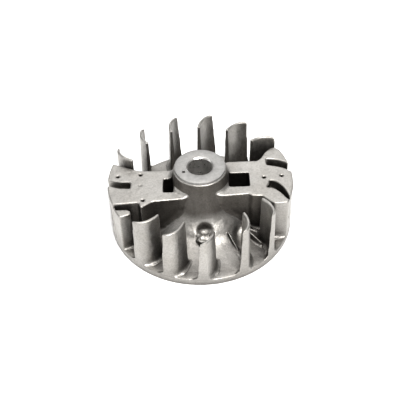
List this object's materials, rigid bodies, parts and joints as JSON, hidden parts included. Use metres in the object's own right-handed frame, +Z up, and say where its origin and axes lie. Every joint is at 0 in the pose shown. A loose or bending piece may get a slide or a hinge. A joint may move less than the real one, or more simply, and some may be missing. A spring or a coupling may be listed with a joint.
{
  "type": "magneto flywheel",
  "caption": "Bare cast-aluminium magneto flywheel with swept cooling vanes, a tall bored hub, a magnet wing and a counterweight wing.",
  "frame": {"origin": "middle of the disc's flat underside, on the crankshaft axis", "axes": "+Z up the crankshaft axis towards the nut seat; -X through the magnet wing; +X through the counterweight wing"},
  "size_m": [0.1, 0.1, 0.0381],
  "materials": {
    "cast_aluminium": "matte",
    "laminated_steel": "satin",
    "magnet": "matte",
    "steel": "satin"
  },
  "bodies": {
    "root": {"base_disc": "cast_aluminium", "hub_column": "cast_aluminium", "hub_flare": "cast_aluminium", "magnet_wing": "cast_aluminium", "magnet_wing_arm_back": "cast_aluminium", "magnet_wing_arm_front": "cast_aluminium", "weight_wing": "cast_aluminium", "weight_wing_arm_back": "cast_aluminium", "weight_wing_arm_front": "cast_aluminium", "vane_01": "cast_aluminium", "vane_02": "cast_aluminium", "vane_03": "cast_aluminium", "vane_04": "cast_aluminium", "vane_05": "cast_aluminium", "vane_06": "cast_aluminium", "vane_07": "cast_aluminium", "vane_08": "cast_aluminium", "vane_09": "cast_aluminium", "vane_10": "cast_aluminium", "vane_11": "cast_aluminium", "shoulder_vane": "cast_aluminium", "floor_rib_1": "cast_aluminium", "floor_rib_2": "cast_aluminium", "floor_rib_3": "cast_aluminium", "gate_boss": "cast_aluminium", "pole_shoe_back": "laminated_steel", "pole_shoe_front": "laminated_steel", "magnet": "magnet", "counterweight": "steel", "pole_rivet_1": "steel", "pole_rivet_2": "steel", "pole_rivet_3": "steel", "pole_rivet_4": "steel"}
  },
  "joints": []
}
